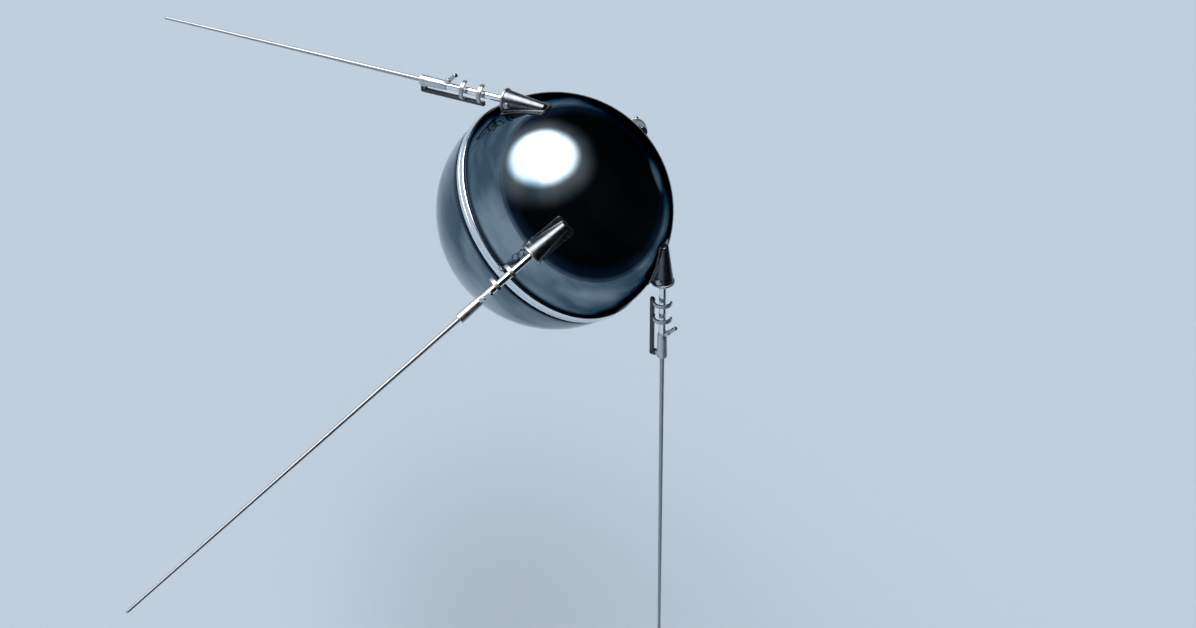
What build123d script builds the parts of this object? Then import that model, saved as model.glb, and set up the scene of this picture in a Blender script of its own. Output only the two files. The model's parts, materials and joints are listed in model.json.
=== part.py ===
"""Small spherical satellite with four sprung whip antennas, in millimetres.

The origin is the centre of the sphere. +Z points through the nose of the front half, and the whips
trail towards -Z. Each antenna stands in a half plane at its own azimuth about Z.

Each antenna is modelled in its own frame, which place() sets on the sphere: x runs along the rod
towards the tip, z points away from the sphere, y is square to both, and the origin is the point where
the rod's line touches the sphere. Distances "along" are measured on that x.
"""

from build123d import *
from math import cos, radians, sin, sqrt
import os

# Sphere: two welded half shells bolted at the equator, and a polished heat shield over the front half
SPHERE_RADIUS = 290.0
SHELL_WALL = 2.0
SHIELD_WALL = 1.0
CURVED_GAP = 0.3

# Equator joint: a rounded rim on each half, with a groove between the rim and the sphere
RIM_CREST = 4.0
RIM_EDGE = 0.5
RIM_HALF_WIDTH = 12.5
GROOVE_WIDTH = 8.5
GROOVE_DEPTH = 6.5
NECK_WALL = 2.5
FLANGE_WALL = 8.0
FLANGE_REACH = 28.0

# Battery and radio: one plain eight-sided block on a plate that lies on the front flange
BLOCK_RADIUS = 165.0
BLOCK_HEIGHT = 230.0
BLOCK_SIDES = 8
PLATE_WALL = 6.0
PLATE_CLEARANCE = 5.0

# Separation seat at the rear pole
SEAT_RADIUS = 32.0
SEAT_HEIGHT = 6.0
SEAT_SPIGOT_RADIUS = 14.0
SEAT_SPIGOT_LENGTH = 16.0
SEAT_BORE_RADIUS = 6.0
SEAT_BORE_DEPTH = 18.0
SEAT_EDGE = 1.5

# Lie of the antennas: angle between each rod and the -Z axis, and reach of the two lengths of whip
WHIP_ANGLE = 44.5
ANTENNA_SPACING_ANGLE = 90.0
SHORT_REACH = 1070.0
LONG_REACH = 1390.0

# Antenna table: number, reach along the rod, side that its hooks bend round. Antenna 2 leans towards +X
ANTENNAS = (
    (1, SHORT_REACH, 1),
    (2, LONG_REACH, -1),
    (3, LONG_REACH, -1),
    (4, SHORT_REACH, 1),
)

# Horn: a conical cowl on the sphere, closed at its tail and open at its mouth
HORN_TAIL = 17.0
HORN_MOUTH = 126.0
HORN_TAIL_RADIUS = 13.0
HORN_MOUTH_RADIUS = 27.0
HORN_WALL = 3.0
LIP_WIDTH = 6.0
LIP_HEIGHT = 2.0
FOOT_MARGIN = 7.0
FOOT_WALL = 3.0
FOOT_HALF_WIDTH = 28.0
FOOT_CORNER = 10.0

# Pivot of the rod in the horn
PIVOT = 110.0
PIN_RADIUS = 4.0
PIN_CLEARANCE = 0.05
PIN_HEAD_RADIUS = 6.0
PIN_HEAD_HEIGHT = 2.0
BOSS_RADIUS = 8.0
BOSS_HEIGHT = 2.5
EYE_RADIUS = 10.0
EYE_HALF_WIDTH = 9.3
EYE_SIDE_GAP = 0.3

# Rod, sleeve and whip
ROD_RADIUS = 9.0
SLEEVE_START = 280.0
SLEEVE_LENGTH = 71.0
SLEEVE_RADIUS = 13.2
SLEEVE_NOSE_RADIUS = 10.6
SLEEVE_SHOULDER = 12.0
ROD_SOCKET_DEPTH = 26.0
WHIP_SOCKET_DEPTH = 30.0
SOCKET_CLEARANCE = 0.05
WHIP_ROOT_RADIUS = 5.6
WHIP_TIP_RADIUS = 3.6

# Lever stub on the sleeve, leaning towards the nose, with a thicker grip at its end
LEVER_ALONG = 11.0
LEVER_LEAN = 45.0
LEVER_RADIUS = 4.2
LEVER_REACH = 52.0
LEVER_GRIP_RADIUS = 5.3
LEVER_GRIP_LENGTH = 22.0
LEVER_BOSS_RADIUS = 6.2
LEVER_BOSS_REACH = 25.0
LEVER_SOCKET_DEPTH = 6.0

# Rail on the side of the sphere, with two hooks round the rod
RAIL_OFFSET = 27.5
RAIL_WIDTH = 10.0
RAIL_OVERHANG = 6.0
RAIL_EDGE = 2.0
LUG_LENGTH = 14.0
LUG_SEAT = 16.0
HOOK_PLACES = (186.0, 233.0)
HOOK_INNER_RADIUS = 19.0
HOOK_WALL = 5.0
HOOK_WIDTH = 10.0
HOOK_SWEEP = 205.0

SLEEVE_END = SLEEVE_START + SLEEVE_LENGTH
FACING_X = Plane.YZ


def along(distance, shape):
    """Stand a shape made along +Z on the rod's line, starting at a distance along it."""
    return FACING_X.offset(distance) * shape


def cone(start, end, start_radius, end_radius):
    length = end - start
    shape = Cone(start_radius, end_radius, length, align=(Align.CENTER, Align.CENTER, Align.MIN))
    return along(start, shape)


def rod(start, end, radius):
    shape = Cylinder(radius, end - start, align=(Align.CENTER, Align.CENTER, Align.MIN))
    return along(start, shape)


def cross_rod(where, half_length, radius):
    """A cylinder across the antenna at a distance along it."""
    return Pos(where, 0, 0) * Rot(90, 0, 0) * Cylinder(radius, 2 * half_length)


def ball(radius):
    """The sphere in an antenna's frame, its poles and seam turned away from the horn."""
    return Pos(0, 0, -SPHERE_RADIUS) * Rot(0, 90, 0) * Rot(90, 0, 0) * Sphere(radius)


def sphere_point(radius, height):
    return (sqrt(radius * radius - height * height), height)


def revolved(lines):
    """Turn an outline of r and z into a solid about the Z axis."""
    outline = make_face(Plane.XZ * lines)
    return revolve(outline, Axis.Z)


def half_shell(outer_radius):
    """The upper half: skin, groove, rounded rim and inner flange, from one outline."""
    inner_radius = outer_radius - SHELL_WALL
    rim_radius = SPHERE_RADIUS + RIM_CREST
    groove_radius = SPHERE_RADIUS - GROOVE_DEPTH
    neck_radius = groove_radius - NECK_WALL
    flange_radius = SPHERE_RADIUS - FLANGE_REACH
    groove_top = RIM_HALF_WIDTH + GROOVE_WIDTH
    web_top = groove_top + NECK_WALL
    turn = 0.5 ** 0.5
    skin_foot = sphere_point(outer_radius, groove_top)
    inner_foot = sphere_point(inner_radius, web_top)
    rim_foot = (SPHERE_RADIUS + RIM_EDGE, RIM_HALF_WIDTH)
    rim_bulge = RIM_CREST - RIM_EDGE
    rim_middle = (rim_foot[0] + rim_bulge * turn, RIM_HALF_WIDTH * turn)
    outline = Curve() + [
        Line((0, inner_radius), (0, outer_radius)),
        ThreePointArc((0, outer_radius), (outer_radius * turn, outer_radius * turn), skin_foot),
        Line(skin_foot, (groove_radius, groove_top)),
        Line((groove_radius, groove_top), (groove_radius, RIM_HALF_WIDTH)),
        Line((groove_radius, RIM_HALF_WIDTH), rim_foot),
        ThreePointArc(rim_foot, rim_middle, (rim_radius, 0)),
        Line((rim_radius, 0), (flange_radius, 0)),
        Line((flange_radius, 0), (flange_radius, FLANGE_WALL)),
        Line((flange_radius, FLANGE_WALL), (neck_radius, FLANGE_WALL)),
        Line((neck_radius, FLANGE_WALL), (neck_radius, web_top)),
        Line((neck_radius, web_top), inner_foot),
        ThreePointArc(inner_foot, (inner_radius * turn, inner_radius * turn), (0, inner_radius)),
    ]
    return revolved(outline)


def heat_shield():
    """The polished skin over the front half, down to the edge of the groove."""
    outer_radius = SPHERE_RADIUS
    inner_radius = SPHERE_RADIUS - SHIELD_WALL
    foot = RIM_HALF_WIDTH + GROOVE_WIDTH
    turn = 0.5 ** 0.5
    outline = Curve() + [
        Line((0, inner_radius), (0, outer_radius)),
        ThreePointArc((0, outer_radius), (outer_radius * turn, outer_radius * turn),
                      sphere_point(outer_radius, foot)),
        Line(sphere_point(outer_radius, foot), sphere_point(inner_radius, foot)),
        ThreePointArc(sphere_point(inner_radius, foot), (inner_radius * turn, inner_radius * turn),
                      (0, inner_radius)),
    ]
    return revolved(outline)


def rear_half_shell():
    """The lower half, bored at its pole for the spigot of the separation seat."""
    hole = Pos(0, 0, -SPHERE_RADIUS) * Cylinder(SEAT_SPIGOT_RADIUS + CURVED_GAP, 4 * SHELL_WALL + SEAT_HEIGHT)
    return mirror(half_shell(SPHERE_RADIUS), about=Plane.XY) - hole


def separation_seat():
    face = -(SPHERE_RADIUS + SEAT_HEIGHT)
    upright = (Align.CENTER, Align.CENTER, Align.MIN)
    sag = SPHERE_RADIUS - sqrt(SPHERE_RADIUS ** 2 - SEAT_RADIUS ** 2)
    disc = Pos(0, 0, face) * Cylinder(SEAT_RADIUS, SEAT_HEIGHT + sag, align=upright)
    disc = chamfer(disc.edges().group_by(Axis.Z)[0], SEAT_EDGE)
    disc -= Sphere(SPHERE_RADIUS + CURVED_GAP)
    spigot = Pos(0, 0, face) * Cylinder(SEAT_SPIGOT_RADIUS, SEAT_HEIGHT + SEAT_SPIGOT_LENGTH, align=upright)
    bore = Pos(0, 0, face) * Cylinder(SEAT_BORE_RADIUS, SEAT_BORE_DEPTH, align=upright)
    return disc + spigot - bore


def battery_block():
    block = extrude(RegularPolygon(BLOCK_RADIUS, BLOCK_SIDES), BLOCK_HEIGHT / 2, both=True)
    neck_radius = SPHERE_RADIUS - GROOVE_DEPTH - NECK_WALL
    plate_radius = neck_radius - PLATE_CLEARANCE
    plate = Pos(0, 0, FLANGE_WALL) * Cylinder(
        plate_radius, PLATE_WALL, align=(Align.CENTER, Align.CENTER, Align.MIN)
    )
    return block + plate


def horn_radius(distance):
    """Outer radius of the horn's cone at a distance along the antenna."""
    share = (distance - HORN_TAIL) / (HORN_MOUTH - HORN_TAIL)
    return HORN_TAIL_RADIUS + share * (HORN_MOUTH_RADIUS - HORN_TAIL_RADIUS)


def horn_foot():
    """A curved plate under the horn: an oblong with two round corners cut out of a thin spherical skin."""
    tail = HORN_TAIL - FOOT_MARGIN
    corners = [
        (tail, -FOOT_HALF_WIDTH),
        (HORN_MOUTH, -FOOT_HALF_WIDTH),
        (HORN_MOUTH, FOOT_HALF_WIDTH),
        (tail, FOOT_HALF_WIDTH),
    ]
    outline = make_face(Polyline(*corners, close=True))
    outline = fillet(outline.vertices().group_by(Axis.X)[0], FOOT_CORNER)
    block = extrude(outline, SPHERE_RADIUS / 3, both=True)
    inner = SPHERE_RADIUS + CURVED_GAP
    return block & (ball(inner + FOOT_WALL) - ball(inner))


def horn():
    lip_start = HORN_MOUTH - LIP_WIDTH
    lip_radius = HORN_MOUTH_RADIUS + LIP_HEIGHT
    boss_end = horn_radius(PIVOT) + BOSS_HEIGHT
    inner_tail = HORN_TAIL + HORN_WALL
    cowl = cone(HORN_TAIL, HORN_MOUTH, HORN_TAIL_RADIUS, HORN_MOUTH_RADIUS)
    cowl += rod(lip_start, HORN_MOUTH, lip_radius)
    cowl += horn_foot()
    cowl += cross_rod(PIVOT, boss_end, BOSS_RADIUS)
    cavity = cone(
        inner_tail, HORN_MOUTH, horn_radius(inner_tail) - HORN_WALL, HORN_MOUTH_RADIUS - HORN_WALL
    )
    bearings = cross_rod(PIVOT, boss_end, BOSS_RADIUS)
    bearings -= cross_rod(PIVOT, EYE_HALF_WIDTH + EYE_SIDE_GAP, 2 * BOSS_RADIUS)
    cowl = cowl - cavity + bearings
    cowl -= cross_rod(PIVOT, 2 * boss_end, PIN_RADIUS + PIN_CLEARANCE)
    return cowl - ball(SPHERE_RADIUS + CURVED_GAP)


def pivot_pin():
    reach = horn_radius(PIVOT) + BOSS_HEIGHT
    heads = cross_rod(PIVOT, reach + PIN_HEAD_HEIGHT, PIN_HEAD_RADIUS)
    heads -= cross_rod(PIVOT, reach, 2 * PIN_HEAD_RADIUS)
    return cross_rod(PIVOT, reach + PIN_HEAD_HEIGHT / 2, PIN_RADIUS) + heads


def root_rod():
    """The stout rod from the pivot to the bottom of its socket in the sleeve."""
    shape = rod(PIVOT, SLEEVE_START + ROD_SOCKET_DEPTH, ROD_RADIUS)
    shape += cross_rod(PIVOT, EYE_HALF_WIDTH, EYE_RADIUS)
    return shape - cross_rod(PIVOT, 2 * EYE_HALF_WIDTH, PIN_RADIUS + PIN_CLEARANCE)


def lever_plane():
    """Frame of the lever: its origin on the rod's line, its z along the lever."""
    lean = radians(LEVER_LEAN)
    origin = (SLEEVE_START + LEVER_ALONG, 0, 0)
    return Plane(origin, x_dir=(0, 1, 0), z_dir=(-sin(lean), 0, cos(lean)))


def sleeve():
    """A turned sleeve with a rounded shoulder, the lever's boss and the flat pad of the rail's lug."""
    shoulder = SLEEVE_START + SLEEVE_SHOULDER
    outline = Polyline(
        (SLEEVE_START, 0),
        (SLEEVE_START, SLEEVE_NOSE_RADIUS),
        (shoulder, (SLEEVE_NOSE_RADIUS + SLEEVE_RADIUS) / 2),
        (SLEEVE_END, SLEEVE_RADIUS),
        (SLEEVE_END, 0),
        close=True,
    )
    body = revolve(make_face(Plane.XZ * outline), Axis.X)
    upright = (Align.CENTER, Align.CENTER, Align.MIN)
    body += lever_plane() * Cylinder(LEVER_BOSS_RADIUS, LEVER_BOSS_REACH, align=upright)
    pad = Box(LUG_LENGTH, RAIL_WIDTH, LUG_SEAT, align=(Align.MAX, Align.CENTER, Align.MAX))
    body += Pos(SLEEVE_END, 0, 0) * pad
    rod_socket = SLEEVE_START + ROD_SOCKET_DEPTH
    whip_socket = SLEEVE_END - WHIP_SOCKET_DEPTH
    body -= rod(SLEEVE_START - LEVER_BOSS_REACH, rod_socket, ROD_RADIUS + SOCKET_CLEARANCE)
    body -= rod(whip_socket, SLEEVE_END, WHIP_ROOT_RADIUS + SOCKET_CLEARANCE)
    body -= lever_plane().offset(LEVER_BOSS_REACH - LEVER_SOCKET_DEPTH) * Cylinder(
        LEVER_RADIUS + SOCKET_CLEARANCE, LEVER_SOCKET_DEPTH, align=upright
    )
    return body


def lever():
    foot = LEVER_BOSS_REACH - LEVER_SOCKET_DEPTH
    upright = (Align.CENTER, Align.CENTER, Align.MIN)
    grip = Cylinder(LEVER_GRIP_RADIUS, LEVER_GRIP_LENGTH, align=upright)
    grip = fillet(grip.edges().filter_by(GeomType.CIRCLE), LEVER_GRIP_RADIUS / 3)
    shank = Cylinder(LEVER_RADIUS, LEVER_REACH - LEVER_GRIP_LENGTH / 2 - foot, align=upright)
    stub = Pos(0, 0, foot) * shank + Pos(0, 0, LEVER_REACH - LEVER_GRIP_LENGTH) * grip
    return lever_plane() * stub


def hook(where, side):
    """A flat strip bent round the rod from the rail, open on one side."""
    middle = HOOK_INNER_RADIUS + HOOK_WALL / 2
    section = Plane(origin=(where, 0, -middle), x_dir=(1, 0, 0), z_dir=(0, 1, 0)) * Rectangle(
        HOOK_WIDTH, HOOK_WALL
    )
    return revolve(section, Axis.X, revolution_arc=side * HOOK_SWEEP)


def rail(side):
    start = HOOK_PLACES[0] - RAIL_OVERHANG
    bar = Box(SLEEVE_END - start, RAIL_WIDTH, RAIL_WIDTH, align=(Align.MIN, Align.CENTER, Align.CENTER))
    bar = fillet(bar.edges().filter_by(Axis.X), RAIL_EDGE)
    bar = Pos(start, 0, -RAIL_OFFSET) * bar
    lug = Box(LUG_LENGTH, RAIL_WIDTH, RAIL_OFFSET - LUG_SEAT, align=(Align.MAX, Align.CENTER, Align.MAX))
    bar += Pos(SLEEVE_END, 0, -LUG_SEAT) * lug
    for where in HOOK_PLACES:
        bar += hook(where, side)
    return bar


def whip(reach):
    """The tapered whip, from the bottom of its socket to its rounded tip."""
    root = SLEEVE_END - WHIP_SOCKET_DEPTH
    shape = rod(root, SLEEVE_END, WHIP_ROOT_RADIUS)
    shape += cone(SLEEVE_END, reach, WHIP_ROOT_RADIUS, WHIP_TIP_RADIUS)
    return fillet(shape.edges().group_by(Axis.X)[-1], WHIP_TIP_RADIUS / 2)


def place(azimuth, shape):
    """Set a shape from an antenna's frame on the sphere at an azimuth."""
    angle = radians(WHIP_ANGLE)
    turn = radians(azimuth)
    outward = (cos(angle) * cos(turn), cos(angle) * sin(turn), sin(angle))
    forward = (sin(angle) * cos(turn), sin(angle) * sin(turn), -cos(angle))
    touch = tuple(SPHERE_RADIUS * value for value in outward)
    return Plane(touch, x_dir=forward, z_dir=outward) * shape


def build():
    nodes = {
        "front_heat_shield": heat_shield(),
        "front_half_shell": half_shell(SPHERE_RADIUS - SHIELD_WALL - CURVED_GAP),
        "rear_half_shell": rear_half_shell(),
        "separation_seat": separation_seat(),
        "battery_block": battery_block(),
    }
    common = {
        "horn": horn(),
        "pivot_pin": pivot_pin(),
        "root_rod": root_rod(),
        "sleeve": sleeve(),
        "lever": lever(),
    }
    for number, reach, side in ANTENNAS:
        azimuth = (number - 2) * ANTENNA_SPACING_ANGLE
        for name, shape in common.items():
            nodes[f"{name}_{number}"] = place(azimuth, shape)
        nodes[f"rail_{number}"] = place(azimuth, rail(side))
        nodes[f"whip_{number}"] = place(azimuth, whip(reach))
    return nodes


def main():
    os.makedirs("parts", exist_ok=True)
    for name, shape in build().items():
        export_step(shape, f"parts/{name}.step")


main()
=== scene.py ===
"""Studio scene of a small spherical satellite, laid out as an add-on and run as a script.

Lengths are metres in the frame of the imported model: its origin is the centre of the ball and +Z runs
through the nose. Each antenna has a frame of its own, which the Antenna class works out from its fold
joint: x runs along the rod towards the tip, y across it and z away from the ball. The shapes of an
antenna are made in that frame and set in place last.
"""

import json
from math import acos, atan, cos, pi, radians, sin, sqrt, tan

import bmesh
import bpy
from bpy.props import FloatProperty, FloatVectorProperty, IntProperty, PointerProperty
from mathutils import Matrix, Vector


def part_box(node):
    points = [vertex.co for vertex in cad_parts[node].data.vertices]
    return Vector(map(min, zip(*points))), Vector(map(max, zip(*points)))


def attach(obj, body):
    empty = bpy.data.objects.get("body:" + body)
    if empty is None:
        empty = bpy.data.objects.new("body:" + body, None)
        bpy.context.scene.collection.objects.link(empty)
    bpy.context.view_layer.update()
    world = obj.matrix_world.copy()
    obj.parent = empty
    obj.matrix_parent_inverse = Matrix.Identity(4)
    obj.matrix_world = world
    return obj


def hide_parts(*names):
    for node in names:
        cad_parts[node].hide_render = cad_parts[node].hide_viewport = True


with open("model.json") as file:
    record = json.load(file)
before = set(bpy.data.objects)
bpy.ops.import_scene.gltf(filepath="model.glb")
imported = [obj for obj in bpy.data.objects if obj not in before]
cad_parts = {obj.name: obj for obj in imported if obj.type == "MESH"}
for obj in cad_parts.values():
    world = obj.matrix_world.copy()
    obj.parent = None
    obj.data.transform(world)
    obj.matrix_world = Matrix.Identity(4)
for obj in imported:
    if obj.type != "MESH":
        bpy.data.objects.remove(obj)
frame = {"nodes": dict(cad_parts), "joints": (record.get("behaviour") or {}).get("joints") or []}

bl_info = {
    "name": "Spherical Satellite",
    "version": (1, 0, 0),
    "blender": (4, 5, 0),
    "location": "View3D > Sidebar > Satellite",
    "description": "Dresses the frame of a spherical satellite and sets it in a studio",
    "category": "Object",
}

# The photograph's frame, and where the centre of the ball and its radius are in it
PHOTO_SIZE = (1196, 628)
BALL_PIXEL = (554.8, 210.8)
BALL_PIXEL_RADIUS = 119.0

# The top of the heat shield is the ball's pole
BALL_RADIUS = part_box("front_heat_shield")[1].z
# Where the ball's centre is in every antenna's own frame
BALL_CENTRE = Vector((0.0, 0.0, -BALL_RADIUS))

FULL_TURN = 2 * pi
# Steps of a full turn of a larger and of a smaller shape
FINE_STEPS = 96
PLAIN_STEPS = 48
# Edges with a greater angle than this, in degrees, stay crisp
SHARP_ANGLE = 32

# The attribute that holds each vertex's place in its piece's own frame
OWN_PLACE = "own_place"


def linear(colour):
    """An sRGB hex colour as linear red, green and blue."""
    values = [int(colour[i:i + 2], 16) / 255 for i in (1, 3, 5)]
    return [v / 12.92 if v <= 0.04045 else ((v + 0.055) / 1.055) ** 2.4 for v in values]


def length(name, description, default):
    """A setting that holds a length in metres."""
    return FloatProperty(
        name=name, description=description, default=default, subtype="DISTANCE", unit="LENGTH",
    )


def angle(name, description, default):
    """A setting that holds an angle, given here in degrees."""
    return FloatProperty(
        name=name, description=description, default=radians(default), subtype="ANGLE", unit="ROTATION",
    )


def radiance(name, description, default):
    """A setting that holds a lamp's strength."""
    return FloatProperty(name=name, description=description, default=default, min=0)


def count(name, description, default, least=0):
    """A setting that holds a whole number."""
    return IntProperty(name=name, description=description, default=default, min=least)


def colour(name, description, default):
    """A setting that holds a colour, given here as sRGB hex."""
    return FloatVectorProperty(
        name=name, description=description, default=linear(default), subtype="COLOR", min=0, max=1,
    )


class SATELLITE_PG_ball(bpy.types.PropertyGroup):
    """Sizes of the two half shells, the heat shield and the equator joint."""
    shield_wall: length("Shield wall", "Thickness of the polished heat shield", 0.001)
    shell_wall: length("Shell wall", "Thickness of each half shell", 0.002)
    shield_gap: length("Shield gap", "Room between the shield and the front shell", 0.0003)
    rim_crest: length("Rim crest", "How far the rounded rim stands proud of the ball", 0.004)
    rim_half_width: length("Rim half width", "Width of each half of the rim", 0.0125)
    rim_edge: length("Rim edge", "Height of the rim's side above the ball", 0.0005)
    groove_width: length("Groove width", "Width of the groove on each side of the rim", 0.0085)
    groove_depth: length("Groove depth", "Depth of the groove under the ball's surface", 0.0065)
    groove_corner: length("Groove corner", "Rounding at the bottom of the grooves", 0.0008)
    # The shoulder is a band of painted shade beside each groove; this is its width
    shoulder: length("Shoulder", "Duller margin beside each groove, where the buff can't reach", 0.012)
    neck_wall: length("Neck wall", "Wall of metal round the groove", 0.0025)
    flange_wall: length("Flange wall", "Thickness of each inner flange", 0.008)
    flange_reach: length("Flange reach", "How far the flanges reach inwards", 0.028)
    seam: length("Seam", "Chamfer on the joint line between the two halves", 0.0003)
    edge: length("Edge", "Rounding of small edges", 0.0004)
    segments: count("Segments", "Steps round the ball", 256, least=32)
    rings: count("Rings", "Steps from the pole to the equator", 72, least=16)


class SATELLITE_PG_seat(bpy.types.PropertyGroup):
    """Sizes of the separation seat at the rear pole."""
    radius: length("Radius", "Radius of the seat's disc", 0.032)
    height: length("Height", "How far the seat stands off the pole", 0.006)
    spigot_radius: length("Spigot radius", "Radius of the spigot in the shell", 0.014)
    spigot_length: length("Spigot length", "Length of the spigot above the disc", 0.016)
    bore_radius: length("Bore radius", "Radius of the guide bore", 0.006)
    bore_depth: length("Bore depth", "Depth of the guide bore", 0.018)
    gap: length("Gap", "Room between the seat and the ball", 0.0003)
    edge: length("Edge", "Rounding of the disc's edge", 0.0015)
    screws: count("Screws", "Screws round the seat", 6)
    screw_radius: length("Screw radius", "Radius of each screw's head", 0.0032)
    screw_height: length("Screw height", "Height of each screw's head", 0.0012)


class SATELLITE_PG_horn(bpy.types.PropertyGroup):
    """Sizes of the conical cowls that carry the antennas."""
    tail: length("Tail", "Start of the cowl along the antenna", 0.017)
    mouth: length("Mouth", "Mouth of the cowl along the antenna", 0.126)
    tail_radius: length("Tail radius", "Outer radius at the tail", 0.013)
    mouth_radius: length("Mouth radius", "Outer radius at the mouth", 0.027)
    wall: length("Wall", "Thickness of the cowl", 0.003)
    lip_width: length("Lip width", "Width of the rolled lip", 0.006)
    lip_height: length("Lip height", "Height of the lip above the cowl", 0.002)
    nose: length("Nose rounding", "Rounding of the closed tail", 0.004)
    foot_margin: length("Foot margin", "How far the foot reaches past the tail", 0.007)
    foot_half_width: length("Foot half width", "Half the width of the foot", 0.028)
    foot_corner: length("Foot corner", "Rounding of the foot's two corners", 0.010)
    foot_wall: length("Foot wall", "Thickness of the foot", 0.003)
    fillet: length("Fillet", "Radius between the cowl and its foot", 0.003)
    gap: length("Gap", "Room between the foot and the ball", 0.0003)
    boss_radius: length("Boss radius", "Radius of the bearing bosses", 0.008)
    boss_height: length("Boss height", "Height of the bosses on the cowl", 0.0025)
    edge: length("Edge", "Rounding of small edges", 0.0008)
    screws: count("Screws", "Screws along each side of the foot", 5, least=2)
    screw_radius: length("Screw radius", "Radius of the foot's screws", 0.0018)
    screw_height: length("Screw height", "Height of the heads of those screws", 0.0006)


class SATELLITE_PG_rod(bpy.types.PropertyGroup):
    """Sizes of the pivot, the root rod and the sleeve that joins rod, rail and whip."""
    pin_radius: length("Pin radius", "Radius of the pivot pin", 0.004)
    pin_clearance: length("Pin clearance", "Room between a bore and what turns in it", 0.00005)
    pin_head_radius: length("Pin head radius", "Radius of the pin's heads", 0.006)
    pin_head_height: length("Pin head height", "Height of the pin's heads", 0.002)
    eye_radius: length("Eye radius", "Radius of the rod's eye", 0.010)
    eye_half_width: length("Eye half width", "Half the width of the rod's eye", 0.0093)
    eye_gap: length("Eye gap", "Room beside the rod's eye", 0.0003)
    radius: length("Rod radius", "Radius of the root rod", 0.009)
    sleeve_radius: length("Sleeve radius", "Radius of the sleeve at the whip's end", 0.0132)
    sleeve_nose_radius: length("Sleeve nose radius", "Radius of the sleeve at the rod's end", 0.0106)
    sleeve_shoulder: length("Sleeve shoulder", "Length of the sleeve's tapered shoulder", 0.012)
    sleeve_blend: length("Sleeve blend", "Rounding where the shoulder ends", 0.012)
    sleeve_groove_depth: length("Sleeve groove depth", "Depth of the sleeve's two grooves", 0.0006)
    sleeve_groove_width: length("Sleeve groove width", "Width of each groove", 0.0012)
    sleeve_groove_step: length("Sleeve groove step", "From the sleeve's end to a groove, and on", 0.006)
    rod_socket: length("Rod socket", "Depth of the rod's socket in the sleeve", 0.026)
    whip_socket: length("Whip socket", "Depth of the whip's socket in the sleeve", 0.030)
    lever_along: length("Lever place", "Where the lever's line meets the rod's line", 0.011)
    lever_lean: angle("Lever lean", "Lean of the lever towards the nose", 45.0)
    lever_radius: length("Lever radius", "Radius of the lever's shank", 0.0042)
    lever_reach: length("Lever reach", "Reach of the lever from the rod's line", 0.052)
    lever_boss_radius: length("Lever boss radius", "Radius of the boss that holds the lever", 0.0062)
    lever_boss_reach: length("Lever boss reach", "Reach of that boss from the rod's line", 0.025)
    lever_socket: length("Lever socket", "Depth of the lever's socket", 0.006)
    grip_radius: length("Grip radius", "Radius of the lever's grip", 0.0053)
    grip_length: length("Grip length", "Length of the lever's grip", 0.022)
    edge: length("Edge", "Rounding of small edges", 0.0007)


class SATELLITE_PG_rail(bpy.types.PropertyGroup):
    """Sizes of the rail, its hooks round the rod and its lug."""
    offset: length("Offset", "Distance of the rail from the rod's line", 0.0275)
    width: length("Width", "Width and height of the rail", 0.010)
    edge: length("Edge", "Rounding of the rail's edges", 0.002)
    lug_length: length("Lug length", "Length of the lug at the sleeve", 0.014)
    lug_seat: length("Lug seat", "Distance of the lug's seat from the rod's line", 0.016)
    lug_edge: length("Lug edge", "Rounding of the lug's edges", 0.0008)
    first_hook: length("First hook", "Place of the hook nearest the cowl", 0.186)
    second_hook: length("Second hook", "Place of the other hook", 0.233)
    overhang: length("Overhang", "Length of rail past the first hook", 0.006)
    hook_inner: length("Hook radius", "Inner radius of the hooks", 0.019)
    hook_wall: length("Hook wall", "Thickness of the hooks", 0.005)
    hook_width: length("Hook width", "Width of the hooks", 0.010)
    hook_edge: length("Hook edge", "Rounding of the hooks' edges", 0.0009)
    hook_sweep: angle("Hook sweep", "How far each hook bends round the rod", 205.0)
    rivet_radius: length("Rivet radius", "Radius of the rivets and of the lug's screws", 0.0024)
    rivet_height: length("Rivet height", "Height of the rivets' domes", 0.00132)
    screw_height: length("Screw height", "Height of the heads of the lug's screws", 0.0014)


class SATELLITE_PG_whip(bpy.types.PropertyGroup):
    """Sizes of the long whips."""
    root_radius: length("Root radius", "Radius at the sleeve", 0.0056)
    tip_radius: length("Tip radius", "Radius at the tip", 0.0036)


class SATELLITE_PG_colours(bpy.types.PropertyGroup):
    """Colours of the finishes."""
    # Painted reflection: the blue-grey tint of these two tones, and where their patches are moved to,
    # paint a reflection into the mirror on top of the polish's own drift in tone
    polish_pale_and_reflection: colour("Polish, pale", "Paler tone of the polished ball", "#919fa8")
    polish_deep_and_reflection: colour("Polish, deep", "Deeper tone of the polished ball", "#4f6370")
    # Painted dark reflection: black here darkens the shield's limb at a glancing angle
    polish_edge_painted_dark: colour("Polish, edge", "Tone of the shield's polish seen at a glancing angle", "#000000")
    # Painted shade: a dark blue band on the ball beside each groove
    shoulder: colour("Shoulder", "Duller metal beside the grooves", "#26364a")
    rim: colour("Rim", "Turned rim at the equator", "#e4e9ee")
    # Painted shade: the grooves' dark coat stands for the shade in them
    groove: colour("Groove", "Dark sealing coat in the grooves", "#243240")
    cast: colour("Casting", "Satin cast cowls", "#66696d")
    rod: colour("Rod", "Bright drawn root rods", "#eceef0")
    sleeve: colour("Sleeve", "Fine turned sleeves", "#c6c8cb")
    lever: colour("Lever", "Satin steel levers and pins", "#b8babd")
    rail: colour("Rail", "Dull steel rails", "#55575a")
    # On the cowls' lips this brighter tone is partly a painted highlight
    hook: colour("Hook", "Ground hooks and the machined lips of the cowls", "#b4b6b9")
    whip: colour("Whip", "Drawn whips", "#a4a6a9")
    fastener: colour("Fastener", "Zinc plated screws and rivets", "#8d8f90")
    inside: colour("Inside", "Plain metal inside the ball", "#77797c")


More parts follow.
